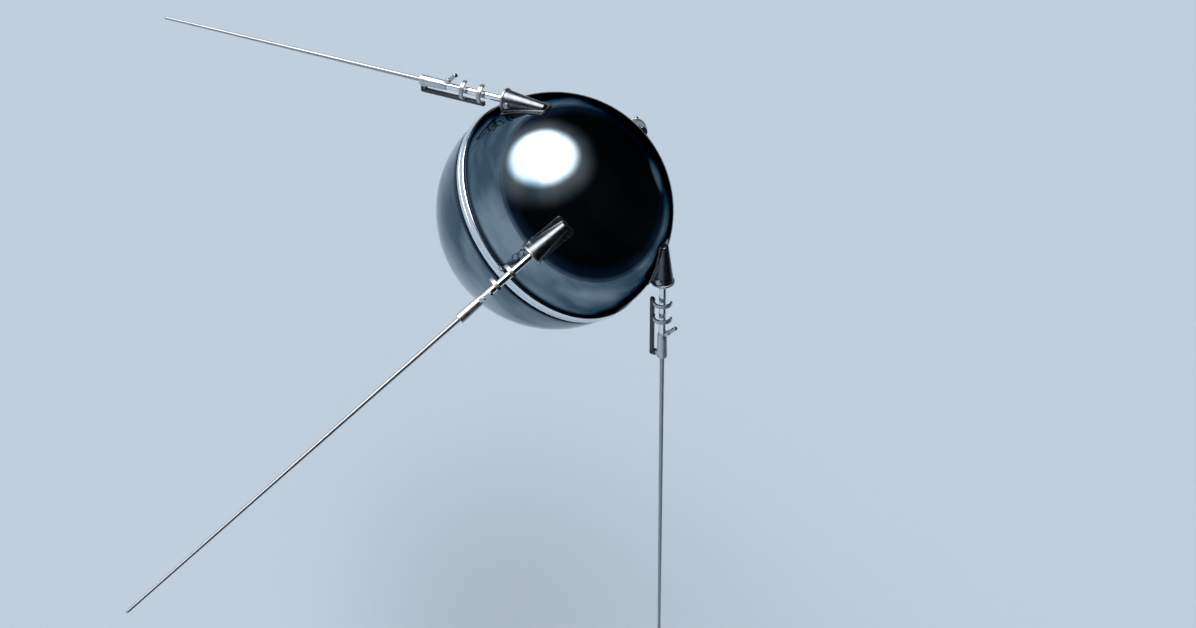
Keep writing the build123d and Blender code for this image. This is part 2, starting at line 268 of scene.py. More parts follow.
class SATELLITE_PG_studio(bpy.types.PropertyGroup):
    """Camera, floor and light."""
    view_azimuth: angle("View azimuth", "Camera's azimuth, 0 looks along +Y", 78.85)
    view_elevation: angle("View elevation", "Camera's height above the horizon", 41.3)
    view_roll: angle("View roll", "Turn of the picture about the line of sight", -56.4)
    view_distance: length("View distance", "From the camera to the ball's centre", 8.7)
    sensor: FloatProperty(name="Sensor", description="Width of the camera's sensor in mm", default=36.0)
    floor_drop: length("Floor drop", "Height of the ball's centre above the floor", 1.25)
    floor_radius: length("Floor radius", "Radius of the floor", 90.0)
    floor: colour("Floor", "Pale studio floor", "#b9c8d6")
    key_azimuth: angle("Key azimuth", "Azimuth of the large soft lamp", 5.8)
    key_elevation: angle("Key elevation", "Elevation of the large soft lamp", 36.9)
    key_core: angle("Key core", "Half angle of the lamp's even middle", 13.0)
    key_edge: angle("Key edge", "Half angle at which the lamp has faded out", 35.0)
    key_strength: radiance("Key strength", "Radiance of the large soft lamp", 8.2)
    veil_azimuth: angle("Veil azimuth", "Azimuth of the soft veil round the large lamp", 9.5)
    veil_elevation: angle("Veil elevation", "Elevation of that veil", 36.0)
    veil_core: angle("Veil core", "Half angle of the veil's even middle", 6.0)
    veil_edge: angle("Veil edge", "Half angle at which the veil has faded out", 54.0)
    veil_strength: radiance("Veil strength", "Radiance of the veil", 0.48)
    back_azimuth: angle("Back azimuth", "Azimuth of the back lamp", -112.0)
    back_elevation: angle("Back elevation", "Elevation of the back lamp", 9.0)
    back_core: angle("Back core", "Half angle of the back lamp's middle", 1.5)
    back_edge: angle("Back edge", "Half angle at which the back lamp has faded out", 9.0)
    back_strength: radiance("Back strength", "Radiance of the back lamp", 0.7)
    wall_foot: colour("Wall foot", "Wall of the studio at floor level", "#8293a5")
    wall_low: colour("Low wall", "Wall a little above the floor", "#24374f")
    ceiling: colour("Ceiling", "Dark wall and ceiling of the studio", "#101317")
    wall_low_height: angle("Low wall height", "Height of the low wall's colour", 5.0)
    ceiling_height: angle("Ceiling height", "Height at which the wall has faded to the ceiling", 17.0)


GROUPS = {
    "satellite_ball": SATELLITE_PG_ball,
    "satellite_seat": SATELLITE_PG_seat,
    "satellite_horn": SATELLITE_PG_horn,
    "satellite_rod": SATELLITE_PG_rod,
    "satellite_rail": SATELLITE_PG_rail,
    "satellite_whip": SATELLITE_PG_whip,
    "satellite_colours": SATELLITE_PG_colours,
    "satellite_studio": SATELLITE_PG_studio,
}


class Antenna:
    """One antenna's number, body and own frame, worked out from its fold joint."""

    def __init__(self, joint):
        pivot = Vector(joint["pos_m"])
        across = Vector(joint["axis"])
        self.pivot = sqrt(pivot.length_squared - BALL_RADIUS ** 2)
        outward = (BALL_RADIUS * pivot - self.pivot * across.cross(pivot)) / pivot.length_squared
        along = across.cross(outward)
        turn = Matrix((along, across, outward)).transposed().to_4x4()
        self.body = joint["child"]
        self.number = self.body.rsplit("_", 1)[1]
        self.matrix = Matrix.Translation(BALL_RADIUS * outward) @ turn

    def node(self, name):
        """One of its nodes' or pieces' names."""
        return f"{name}_{self.number}"

    def span(self, name):
        """Lowest and highest corner of one of its CAD nodes, in its own frame."""
        inverse = self.matrix.inverted()
        points = [inverse @ v.co for v in frame["nodes"][self.node(name)].data.vertices]
        columns = list(zip(*points))
        return Vector([min(c) for c in columns]), Vector([max(c) for c in columns])


ANTENNAS = [Antenna(joint) for joint in frame["joints"]]


# Shapes

def rounded(corners, steps=4):
    """Round an open outline. Each corner is (first, second, radius), and the ends stay sharp."""
    points = []
    last = len(corners) - 1
    for i, (first, second, radius) in enumerate(corners):
        here = Vector((first, second))
        if i in (0, last) or radius <= 0:
            points.append(here)
            continue
        before = (Vector(corners[i - 1][:2]) - here).normalized()
        after = (Vector(corners[i + 1][:2]) - here).normalized()
        half = before.angle(after) / 2
        centre = here + (before + after).normalized() * radius / sin(half)
        start = here + before * radius / tan(half) - centre
        end = here + after * radius / tan(half) - centre
        reach = start.length
        points += [centre + reach * start.slerp(end, step / steps) for step in range(steps + 1)]
    return points


def spun(points, axis, turn=FULL_TURN, steps=FINE_STEPS, closed=False):
    """Spin a line of points about an axis through the origin."""
    bm = bmesh.new()
    verts = [bm.verts.new(p) for p in points]
    pairs = list(zip(verts, verts[1:]))
    if closed:
        pairs.append((verts[-1], verts[0]))
    edges = [bm.edges.new(pair) for pair in pairs]
    bmesh.ops.spin(
        bm, geom=verts + edges, cent=(0, 0, 0), axis=axis, angle=turn, steps=steps,
        use_merge=abs(turn) >= FULL_TURN, use_duplicate=False,
    )
    bmesh.ops.remove_doubles(bm, verts=bm.verts, dist=1e-7)
    on_axis = [e for e in bm.edges if not e.link_faces]
    bmesh.ops.delete(bm, geom=on_axis, context="EDGES")
    bmesh.ops.recalc_face_normals(bm, faces=bm.faces)
    return bm


def turned(outline, steps=FINE_STEPS, closed=False):
    """Spin an outline of (along, radius) about the antenna's x axis."""
    return spun([(a, 0, r) for a, r in outline], (1, 0, 0), steps=steps, closed=closed)


def cross_turned(outline, along, steps=PLAIN_STEPS):
    """Spin a closed outline of (across, radius) about a line across the antenna."""
    bm = spun([(r, a, 0) for a, r in outline], (0, 1, 0), steps=steps, closed=True)
    bmesh.ops.translate(bm, verts=bm.verts, vec=(along, 0, 0))
    return bm


def ring_outline(start, end, inner, outer, edge):
    """Closed outline of a tube's wall with rounded edges, for turned() and cross_turned()."""
    middle = (start + end) / 2
    return rounded([
        (middle, inner, 0), (start, inner, edge), (start, outer, edge),
        (end, outer, edge), (end, inner, edge), (middle, inner, 0),
    ])[:-1]


def block(low, high, edge):
    """A box with rounded edges between two corners."""
    bm = bmesh.new()
    bmesh.ops.create_cube(bm, size=1)
    low, high = Vector(low), Vector(high)
    bmesh.ops.scale(bm, verts=bm.verts, vec=high - low)
    bmesh.ops.translate(bm, verts=bm.verts, vec=(low + high) / 2)
    bmesh.ops.bevel(bm, geom=bm.edges, offset=edge, segments=3, profile=0.5, affect="EDGES", material=-1)
    return bm


def mirrored(bm, scale):
    """Turn a shape into its mirror image, with its faces still outwards."""
    bmesh.ops.scale(bm, verts=bm.verts, vec=scale)
    bmesh.ops.reverse_faces(bm, faces=bm.faces)
    return bm


def joined(parts):
    """Several meshes as one."""
    whole = bmesh.new()
    for part in parts:
        mesh = bpy.data.meshes.new("part")
        part.to_mesh(mesh)
        part.free()
        whole.from_mesh(mesh)
        bpy.data.meshes.remove(mesh)
    return whole


def screw(radius, height):
    """A slotted screw's head: its seat at z = 0, its top at height, its slot half as deep as the head."""
    bm = bmesh.new()
    bmesh.ops.create_cone(
        bm, cap_ends=True, segments=24, radius1=radius, radius2=radius, depth=2 * height,
    )
    top = [e for e in bm.edges if all(v.co.z > 0 for v in e.verts)]
    bmesh.ops.bevel(
        bm, geom=top, offset=height * 0.4, segments=2, profile=0.5, affect="EDGES", material=-1,
    )
    slot = radius * 0.3
    for side in (-slot / 2, slot / 2):
        bmesh.ops.bisect_plane(
            bm, geom=bm.verts[:] + bm.edges[:] + bm.faces[:], plane_co=(side, 0, 0), plane_no=(1, 0, 0),
        )
    strip = [f for f in bm.faces if f.normal.z > 0.9 and abs(f.calc_center_median().x) < slot / 2]
    sunk = bmesh.ops.extrude_face_region(bm, geom=strip)["geom"]
    floor = [v for v in sunk if isinstance(v, bmesh.types.BMVert)]
    bmesh.ops.translate(bm, verts=floor, vec=(0, 0, -height * 0.5))
    bmesh.ops.delete(bm, geom=strip, context="FACES")
    return bm


def dome(radius, height):
    """A rivet's domed head: its seat at z = 0."""
    steps = 5
    turns = [i / steps * pi / 2 for i in range(steps + 1)]
    outline = [(0, -height), (radius, -height)] + [(radius * cos(t), height * sin(t)) for t in turns]
    return spun([(r, 0, z) for r, z in outline], (0, 0, 1), steps=24)


def set_on(bm, place, direction, spin=0.0):
    """Stand a shape made along +Z at a place, pointing in a direction."""
    turn = Vector(direction).to_track_quat("Z", "Y").to_matrix().to_4x4()
    matrix = Matrix.Translation(place) @ turn @ Matrix.Rotation(spin, 4, "Z")
    bmesh.ops.transform(bm, matrix=matrix, verts=bm.verts)
    return bm


def piece(bm, name, body, finishes, replaced=(), antenna=None):
    """Finish a mesh as an object at the origin that rides a body and stands for CAD nodes.

    A mesh made in an antenna's own frame is set in its place first.
    """
    place = bm.verts.layers.float_vector.new(OWN_PLACE)
    for v in bm.verts:
        v[place] = v.co
    if antenna:
        bmesh.ops.transform(bm, matrix=antenna.matrix, verts=bm.verts)
    mesh = bpy.data.meshes.new(name)
    bm.to_mesh(mesh)
    bm.free()
    for finish in finishes:
        mesh.materials.append(FINISHES[finish])
    mesh.shade_smooth()
    mesh.set_sharp_from_angle(angle=radians(SHARP_ANGLE))
    obj = bpy.data.objects.new(name, mesh)
    bpy.context.scene.collection.objects.link(obj)
    weighted = obj.modifiers.new("Even shading", "WEIGHTED_NORMAL")
    weighted.keep_sharp = True
    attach(obj, body)
    if replaced:
        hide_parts(*replaced)


def antenna_piece(bm, antenna, name, body, finishes, stands_for=None):
    """Finish a mesh made in an antenna's own frame as a piece with that antenna's number."""
    replaced = [antenna.node(stands_for)] if stands_for else ()
    piece(bm, antenna.node(name), body, finishes, replaced, antenna)


# Finishes

# Patches of tone on the mirror are this high. They are partly the polish's own drift and partly a painted
# reflection. The buff runs round the ball, so they are longer that way
BUFF_PATCH = 0.090
BUFF_STRETCH = (0.4, 0.4, 1)
# Polishing haze in smaller patches keeps the mirror from looking like glass
HAZE_PATCH = 0.030
# A spun sheet is out of true by a tenth of a millimetre over a hand's width
SHEET_WAVE = 0.12
SHEET_WAVE_HEIGHT = 0.00012
# Painted reflection: both moves of the pattern bring deeper patches to the large lamp's side and paler
# ones below it
SHIELD_REFLECTION_SHIFT = (2.26, -0.12, -1.06)
SHELL_REFLECTION_SHIFT = (0.75, -0.71, 0.50)


def plug(tree, node, inputs):
    """Set or link a node's inputs by name or number."""
    for name, value in inputs.items():
        if isinstance(value, bpy.types.NodeSocket):
            tree.links.new(value, node.inputs[name])
        else:
            node.inputs[name].default_value = value


def add(tree, kind, inputs=None, **settings):
    """Add a node with its settings and its inputs."""
    node = tree.nodes.new(kind)
    for name, value in settings.items():
        setattr(node, name, value)
    plug(tree, node, inputs or {})
    return node


def new_finish(name):
    """An empty metal: its material, node tree and shader."""
    material = bpy.data.materials.new(name)
    material.use_nodes = True
    tree = material.node_tree
    shader = tree.nodes["Principled BSDF"]
    shader.inputs["Metallic"].default_value = 1.0
    return material, tree, shader


def opaque(values):
    """A colour with full cover."""
    return (*values, 1.0)


def mottled(tree, place, pale, deep, size, contrast=0.5, middle=0.5):
    """A colour that drifts between two close tones over patches of a real size."""
    patches = add(tree, "ShaderNodeTexNoise", {"Vector": place, "Scale": 1 / size, "Detail": 3.0})
    spread = add(tree, "ShaderNodeMapRange", {
        "Value": patches.outputs["Fac"],
        "From Min": middle - contrast / 2, "From Max": middle + contrast / 2,
    })
    return add(tree, "ShaderNodeMix", {
        "Factor": spread.outputs["Result"], 6: opaque(deep), 7: opaque(pale),
    }, data_type="RGBA").outputs[2]


def drifting(tree, place, low, high, size):
    """A number that drifts between two values over patches of a real size."""
    patches = add(tree, "ShaderNodeTexNoise", {"Vector": place, "Scale": 1 / size, "Detail": 3.0})
    return add(tree, "ShaderNodeMapRange", {
        "Value": patches.outputs["Fac"], "From Min": 0.3, "From Max": 0.7, "To Min": low, "To Max": high,
    }).outputs["Result"]


def own_place(tree, stretch=(1, 1, 1)):
    """A piece's place in its antenna's own frame, squeezed or stretched along each axis."""
    place = add(tree, "ShaderNodeAttribute", attribute_name=OWN_PLACE, attribute_type="GEOMETRY")
    return add(tree, "ShaderNodeMapping", {
        "Vector": place.outputs["Vector"], "Scale": stretch,
    }).outputs["Vector"]


def object_place(tree, shift=(0, 0, 0), stretch=(1, 1, 1)):
    """A place on a piece of the root body, squeezed or stretched along each axis, then moved."""
    place = add(tree, "ShaderNodeTexCoord").outputs["Object"]
    return add(tree, "ShaderNodeMapping", {
        "Vector": place, "Location": shift, "Scale": stretch,
    }).outputs["Vector"]


def painted_shade_near_joint(tree, ball):
    """How near a point of the ball is to the grooves of its joint, from 0 to 1: the mask of the painted
    shade beside them.
    """
    start = ball.rim_half_width + ball.groove_width
    height = add(tree, "ShaderNodeSeparateXYZ", {"Vector": object_place(tree)}).outputs["Z"]
    size = add(tree, "ShaderNodeMath", {0: height}, operation="ABSOLUTE").outputs["Value"]
    return add(tree, "ShaderNodeMapRange", {
        "Value": size, "From Min": start, "From Max": start + ball.shoulder, "To Min": 1.0, "To Max": 0.0,
    }, interpolation_type="SMOOTHSTEP").outputs["Result"]


def surfaced(tree, shader, tone, rough, relief, depth, strength=1.0):
    """Give a metal its tone, its roughness and a relief that is a depth in metres high."""
    bump = add(tree, "ShaderNodeBump", {"Strength": strength, "Distance": depth, "Height": relief})
    plug(tree, shader, {"Base Color": tone, "Roughness": rough, "Normal": bump.outputs["Normal"]})


def polished(name, colours, ball, shift, edge=(1, 1, 1)):
    """Aluminium alloy, hand polished: clear reflections that drift a little in tone and depth. The
    blue-grey tint and the placed patches are partly a painted reflection, the band beside the grooves is
    painted shade, and a black edge tint paints a dark reflection at a glancing angle.
    """
    material, tree, shader = new_finish(name)
    # A black tint here paints a dark reflection at a glancing angle
    shader.inputs["Specular Tint"].default_value = opaque(edge)
    place = object_place(tree, shift=shift, stretch=BUFF_STRETCH)
    # Painted reflection on top of the polish's own drift: tinted patches, placed by the shift
    patches = mottled(
        tree, place, colours.polish_pale_and_reflection, colours.polish_deep_and_reflection,
        size=BUFF_PATCH, contrast=0.26, middle=0.53,
    )
    # Painted shade: the shoulder colour darkens a band beside the grooves
    tone = add(tree, "ShaderNodeMix", {
        "Factor": painted_shade_near_joint(tree, ball), 6: patches, 7: opaque(colours.shoulder),
    }, data_type="RGBA").outputs[2]
    haze = drifting(tree, place, 0.025, 0.085, size=HAZE_PATCH)
    waves = add(tree, "ShaderNodeTexNoise", {"Vector": place, "Scale": 1 / SHEET_WAVE, "Detail": 1.0})
    surfaced(tree, shader, tone, haze, waves.outputs["Fac"], SHEET_WAVE_HEIGHT)
    return material


def turned_metal(name, base, roughness, pitch, depth, place_of, direction):
    """Metal off a lathe: fine rings, one every pitch, that spread the light along the turned axis."""
    material, tree, shader = new_finish(name)
    place = place_of(tree)
    rings = add(tree, "ShaderNodeTexWave", {
        "Vector": place, "Scale": pi / (10 * pitch), "Distortion": 1.5, "Detail": 2.0,
    }, wave_type="BANDS", bands_direction=direction)
    rough = drifting(tree, place, roughness * 0.8, roughness * 1.25, size=0.012)
    surfaced(tree, shader, opaque(base), rough, rings.outputs["Fac"], depth)
    return material


def drawn_metal(name, base, roughness, grain):
    """Metal pulled through a die: long fine lines, a grain apart, that run with the rod."""
    material, tree, shader = new_finish(name)
    lines = own_place(tree, stretch=(0.02, 1, 1))
    streaks = add(tree, "ShaderNodeTexNoise", {"Vector": lines, "Scale": 1 / grain, "Detail": 4.0})
    rough = add(tree, "ShaderNodeMapRange", {
        "Value": streaks.outputs["Fac"], "To Min": roughness * 0.7, "To Max": roughness * 1.3,
    }).outputs["Result"]
    surfaced(tree, shader, opaque(base), rough, streaks.outputs["Fac"], grain * 0.02, strength=0.6)
    return material


def satin_metal(name, base, roughness, grit):
    """Metal blasted or ground to an even grit: a soft sheen, worn a little brighter in patches."""
    material, tree, shader = new_finish(name)
    place = own_place(tree)
    grains = add(tree, "ShaderNodeTexNoise", {"Vector": place, "Scale": 1 / grit, "Detail": 3.0})
    tone = mottled(tree, place, base, [v * 0.8 for v in base], size=0.018)
    rough = drifting(tree, place, roughness * 0.75, roughness * 1.25, size=0.014)
    surfaced(tree, shader, tone, rough, grains.outputs["Fac"], grit * 0.012, strength=0.7)
    return material


def groove_shade_coat(name, base):
    """Painted shade in the joint's grooves: a dark, half matt coat, not a bare metal."""
    material, tree, shader = new_finish(name)
    place = object_place(tree)
    plug(tree, shader, {
        "Metallic": 0.0,
        "Base Color": mottled(tree, place, base, [v * 0.6 for v in base], size=0.01),
        "Roughness": drifting(tree, place, 0.35, 0.5, size=0.006),
    })
    return material


FINISHES = {}


def make_finishes(colours, ball):
    """All the finishes, each made once.

    Turned rings, drawn lines and grit are coarser than the real ones, so that they show.
    """
    FINISHES.update({
        # Painted dark reflection: the shield's polish is tinted black at a glancing angle, so its limb
        # stays dark
        "shield": polished(
            "Mirror polished shield", colours, ball, SHIELD_REFLECTION_SHIFT, edge=colours.polish_edge_painted_dark,
        ),
        "polish": polished("Mirror polished aluminium", colours, ball, SHELL_REFLECTION_SHIFT),
        "rim": turned_metal(
            "Bright turned aluminium", colours.rim, roughness=0.16, pitch=0.0009, depth=0.00001,
            place_of=object_place, direction="Z",
        ),
        # Painted shade in the grooves
        "groove": groove_shade_coat("Sealing coat", colours.groove),
        "inside": satin_metal("Plain sheet aluminium", colours.inside, roughness=0.4, grit=0.002),
        "cast": satin_metal("Satin cast aluminium", colours.cast, roughness=0.30, grit=0.0014),
        "rod": drawn_metal("Bright drawn aluminium", colours.rod, roughness=0.13, grain=0.0012),
        "sleeve": turned_metal(
            "Fine turned aluminium", colours.sleeve, roughness=0.34, pitch=0.0011, depth=0.000012,
            place_of=own_place, direction="X",
        ),
        "lever": satin_metal("Satin ground steel", colours.lever, roughness=0.30, grit=0.0006),
        "rail": satin_metal("Dull satin steel", colours.rail, roughness=0.42, grit=0.0010),
        "hook": satin_metal("Ground steel", colours.hook, roughness=0.36, grit=0.0008),
        "whip": drawn_metal("Drawn aluminium whip", colours.whip, roughness=0.38, grain=0.0015),
        "fastener": satin_metal("Zinc plated steel", colours.fastener, roughness=0.35, grit=0.0008),
    })


# Pieces of the ball

def arc(radius, start, end, steps):
    """Points (radius, height) on a circle about the origin between two heights."""
    first, last = acos(start / radius), acos(end / radius)
    angles = [first + (last - first) * i / steps for i in range(steps + 1)]
    return [(radius * sin(a), radius * cos(a)) for a in angles]


def spun_shell(outline, ball):
    """Spin an outline of (radius, height) about Z."""
    return spun([(r, 0, z) for r, z in outline], (0, 0, 1), steps=ball.segments)


def on_sphere(radius, height):
    """How far a sphere's surface is from the Z axis at a height, or how high it is at that distance."""
    return sqrt(radius * radius - height * height)


def shield_shape(ball):
    """The polished shield: a thin cap down to the groove, its edge eased."""
    foot = ball.rim_half_width + ball.groove_width
    outer, inner = BALL_RADIUS, BALL_RADIUS - ball.shield_wall
    edge = ball.edge
    lip = on_sphere(outer, foot)
    outline = arc(outer, outer, foot + edge, ball.rings)
    outline += [(lip - edge * 0.3, foot + edge * 0.3), (lip - edge, foot), (on_sphere(inner, foot), foot)]
    outline += list(reversed(arc(inner, inner, foot + edge, ball.rings // 4)))
    return spun_shell(outline, ball)


def half_shell_shape(ball, outer, pole_hole=0.0):
    """A half shell: skin, groove, rounded rim and inner flange, spun from one outline."""
    inner = outer - ball.shell_wall
    groove = BALL_RADIUS - ball.groove_depth
    neck = groove - ball.neck_wall
    top = ball.rim_half_width + ball.groove_width
    web = top + ball.neck_wall
    rim = BALL_RADIUS + ball.rim_edge
    crest = BALL_RADIUS + ball.rim_crest
    bulge = ball.rim_crest - ball.rim_edge
    flange = BALL_RADIUS - ball.flange_reach
    pole = on_sphere(outer, pole_hole) if pole_hole else outer
    inner_pole = on_sphere(inner, pole_hole) if pole_hole else inner
    lip = on_sphere(outer, top)
    outline = arc(outer, pole, top + ball.edge, ball.rings)
    outline += rounded([
        (lip, top + ball.edge, 0), (lip, top, ball.edge * 0.9), (groove, top, ball.groove_corner),
        (groove, ball.rim_half_width, ball.groove_corner), (rim, ball.rim_half_width, 0),
    ])[1:]
    steps = 12
    for i in range(1, steps):
        turn = i / steps * pi / 2
        outline.append((rim + bulge * sin(turn), ball.rim_half_width * cos(turn)))
    outline += [
        (crest, ball.seam), (crest - ball.seam, 0.0), (flange, 0.0), (flange, ball.flange_wall),
        (neck, ball.flange_wall), (neck, web),
    ]
    outline += list(reversed(arc(inner, inner_pole, web, ball.rings // 3)))
    if pole_hole:
        outline.append(outline[0])
    return spun_shell(outline, ball)


def paint_joint(bm, ball):
    """Give the rim and the grooves their own finishes: 0 skin, 1 rim, 2 groove, 3 inside."""
    # A face's middle lies a little off the surface that its corners are on
    skin_slack, floor_slack, side_slack = 0.0008, 0.0003, 0.0001
    skin = BALL_RADIUS - ball.shield_wall - ball.shield_gap - skin_slack
    floor = BALL_RADIUS - ball.groove_depth - floor_slack
    low = ball.rim_half_width - side_slack
    high = ball.rim_half_width + ball.groove_width + side_slack
    for face in bm.faces:
        middle = face.calc_center_median()
        radius = Vector((middle.x, middle.y)).length
        height = abs(middle.z)
        if middle.length < skin:
            face.material_index = 2 if radius > floor and low < height < high else 3
        elif height < ball.rim_half_width + side_slack:
            face.material_index = 1
        else:
            face.material_index = 0


class SATELLITE_OT_ball(bpy.types.Operator):
    """Make the polished heat shield and the two half shells with their rims and grooves"""
    bl_idname = "satellite.ball"
    bl_label = "Ball"

    def execute(self, context):
        ball = context.scene.satellite_ball
        seat = context.scene.satellite_seat
        finishes = ["polish", "rim", "groove", "inside"]
        shield = shield_shape(ball)
        piece(shield, "heat_shield_skin", "root", ["shield"], ["front_heat_shield"])
        front = half_shell_shape(ball, BALL_RADIUS - ball.shield_wall - ball.shield_gap)
        paint_joint(front, ball)
        piece(front, "front_shell", "root", finishes, ["front_half_shell"])
        rear = mirrored(half_shell_shape(ball, BALL_RADIUS, seat.spigot_radius + seat.gap), (1, 1, -1))
        paint_joint(rear, ball)
        piece(rear, "rear_shell", "root", finishes, ["rear_half_shell"])
        block_node = frame["nodes"]["battery_block"]
        block_node.data.materials.clear()
        block_node.data.materials.append(FINISHES["inside"])
        return {"FINISHED"}


class SATELLITE_OT_seat(bpy.types.Operator):
    """Make the separation seat at the rear pole, with its screws"""
    bl_idname = "satellite.seat"
    bl_label = "Separation seat"

    def execute(self, context):
        seat = context.scene.satellite_seat
        face = -(BALL_RADIUS + seat.height)
        back = BALL_RADIUS + seat.gap
        spigot_level, disc_level = on_sphere(back, seat.spigot_radius), on_sphere(back, seat.radius)
        bore_end = face + seat.bore_depth
        spigot_end = face + seat.height + seat.spigot_length
        outline = [(r, -z) for r, z in arc(back, spigot_level, disc_level, 8)]
        outline += rounded([
            (seat.radius, -disc_level, 0), (seat.radius, face, seat.edge),
            (seat.bore_radius, face, seat.edge / 3), (seat.bore_radius, bore_end, 0), (0, bore_end, 0),
        ])[1:]
        outline += [(0, spigot_end), (seat.spigot_radius, spigot_end), outline[0]]
        parts = [spun([(r, 0, z) for r, z in outline], (0, 0, 1))]
        ring = (seat.radius + seat.spigot_radius) / 2
        # Every screw's slot stands at an angle of its own
        slot_turn = 2.3
        for i in range(seat.screws):
            turn = FULL_TURN * i / seat.screws
            place = (ring * cos(turn), ring * sin(turn), face)
            head = screw(seat.screw_radius, seat.screw_height)
            parts.append(set_on(head, place, (0, 0, -1), turn * slot_turn))
        piece(joined(parts), "seat", "root", ["sleeve"], ["separation_seat"])
        return {"FINISHED"}


# Pieces of the antennas

def second_finish(bm):
    """Give the whole of a shape its piece's second finish."""
    for face in bm.faces:
        face.material_index = 1
    return bm


def cone_radius(horn, along):
    """The cowl's outer radius at a place along the antenna."""
    share = (along - horn.tail) / (horn.mouth - horn.tail)
    return horn.tail_radius + share * (horn.mouth_radius - horn.tail_radius)


def level_over_ball(x, y, height):
    """The z, in an antenna's frame, of the point over (x, y) at a height above the ball's surface."""
    radius = BALL_RADIUS + height
    return sqrt(radius * radius - x * x - y * y) - BALL_RADIUS


def over_ball(x, y, height):
    """The point over (x, y) at a height above the ball's surface, in an antenna's frame."""
    return Vector((x, y, level_over_ball(x, y, height)))


def meeting_angle(radius, x, height):
    """The turn from its top at which a circle about the antenna's line meets a height over the ball."""
    level = (BALL_RADIUS + height) ** 2 - BALL_RADIUS ** 2 - x * x - radius * radius
    return acos(max(-1.0, min(1.0, level / (2 * BALL_RADIUS * radius))))


def cowl_rows(horn):
    """Stations of the cowl from mouth to tail.

    Each is its outer place, radius and slope, its inner place and radius, and its way along the foot's
    outline: 0 on the side, 0 to 1 round the corner and 1 to 2 along the tail end.
    """
    mouth = horn.mouth - horn.edge / 2
    rise = (horn.mouth_radius - horn.tail_radius) / (horn.mouth - horn.tail)
    slope = atan(rise)
    corner = horn.tail + horn.nose * (1 - sin(slope))
    inner_end = horn.tail + horn.wall
    # The inner wall draws in by this share of its radius towards the closed tail
    closing = 0.3
    rows = []
    cone_steps, corner_steps, end_steps = 26, 6, 4
    for i in range(cone_steps):
        x = mouth + (corner - mouth) * i / cone_steps
        inner_x = mouth + (inner_end + horn.edge - mouth) * i / cone_steps
        rows.append((x, cone_radius(horn, x), slope, inner_x, cone_radius(horn, inner_x) - horn.wall, 0))
    middle_radius = cone_radius(horn, corner) - horn.nose * cos(slope)
    inner_radius = cone_radius(horn, inner_end) - horn.wall
    for i in range(corner_steps):
        lean = slope + (pi / 2 - slope) * i / corner_steps
        x = horn.tail + horn.nose * (1 - sin(lean))
        share = i / corner_steps
        rows.append((
            x, middle_radius + horn.nose * cos(lean), lean,
            inner_end + horn.edge * (1 - share), inner_radius * (1 - closing * share), share,
        ))
    # On the flat end the contact of the fillet sinks to the middle
    lowest = level_over_ball(horn.tail - horn.fillet, 0, horn.foot_wall + horn.gap + horn.fillet)
    inner_lowest = level_over_ball(inner_end, 0, horn.gap)
    inner_radius *= 1 - closing
    for i in range(end_steps + 1):
        share = i / end_steps
        rows.append((
            horn.tail, middle_radius + (lowest - middle_radius) * share, pi / 2,
            inner_end, inner_radius + (inner_lowest - inner_radius) * share, 1 + share,
        ))
    return rows


def foot_outline(horn, x, way):
    """A point (along, across) on one side of the foot's outline."""
    end = horn.tail - horn.foot_margin
    straight = horn.foot_half_width - horn.foot_corner
    if way <= 0:
        return x, horn.foot_half_width
    if way <= 1:
        turn = way * pi / 2
        return end + horn.foot_corner * (1 - sin(turn)), straight + horn.foot_corner * cos(turn)
    return end, straight * (2 - way)


def cowl_section(horn, row, side):
    """One side of a station: its outer points from the foot's lower edge up to the cowl and the turn
    from the top where they end, then the points on its underside and the turn of its inner wall.
    """
    x, radius, lean, inner_x, inner_radius, way = row
    top = horn.foot_wall + horn.gap
    across, along = cos(lean), -sin(lean)
    ball_x, ball_radius = x + horn.fillet * along, radius + horn.fillet * across
    turn = meeting_angle(ball_radius, ball_x, top + horn.fillet)
    centre = Vector((ball_x, side * ball_radius * sin(turn), ball_radius * cos(turn)))
    to_cowl = -Vector((along, side * across * sin(turn), across * cos(turn)))
    to_foot = (BALL_CENTRE - centre).normalized()
    steps = 5
    fillet = [centre + horn.fillet * to_foot.slerp(to_cowl, i / steps) for i in range(steps + 1)]
    contact = fillet[0]
    edge_x, edge_y = foot_outline(horn, x, way)
    away = Vector((edge_x - contact.x, side * edge_y - contact.y, 0))
    margin = away.length
    away.normalize()
    edge = contact + away * margin
    inside = contact + away * (margin - horn.edge)
    half = contact + away * margin / 2
    outer = [
        over_ball(edge.x, edge.y, horn.gap), over_ball(edge.x, edge.y, top - horn.edge),
        over_ball(inside.x, inside.y, top), over_ball(half.x, half.y, top),
    ] + fillet
    # Near the tail the inner circle may miss the ball, so its two ends are kept apart
    widest = radians(170)
    inner_turn = min(meeting_angle(inner_radius, inner_x, horn.gap), widest)
    base = Vector((inner_x, side * inner_radius * sin(inner_turn), inner_radius * cos(inner_turn)))
    drop = over_ball(base.x, base.y, horn.gap)
    under = over_ball((drop.x + edge.x) / 2, (drop.y + edge.y) / 2, horn.gap)
    return outer, turn, [under, drop], inner_turn


def cowl_loop(horn, row):
    """A whole station as one closed loop: over the cowl from foot to foot, and back along its inside."""
    x, radius, _, inner_x, inner_radius, _ = row
    left, turn, left_under, inner_turn = cowl_section(horn, row, -1)
    right, _, right_under, _ = cowl_section(horn, row, 1)
    steps = 36
    arch = [turn * (2 * i / steps - 1) for i in range(1, steps)]
    over = [Vector((x, radius * sin(a), radius * cos(a))) for a in arch]
    inner_arch = [inner_turn * (1 - 2 * i / steps) for i in range(steps + 1)]
    inner = [Vector((inner_x, inner_radius * sin(a), inner_radius * cos(a))) for a in inner_arch]
    return left + over + right[::-1] + right_under + inner + left_under[::-1]


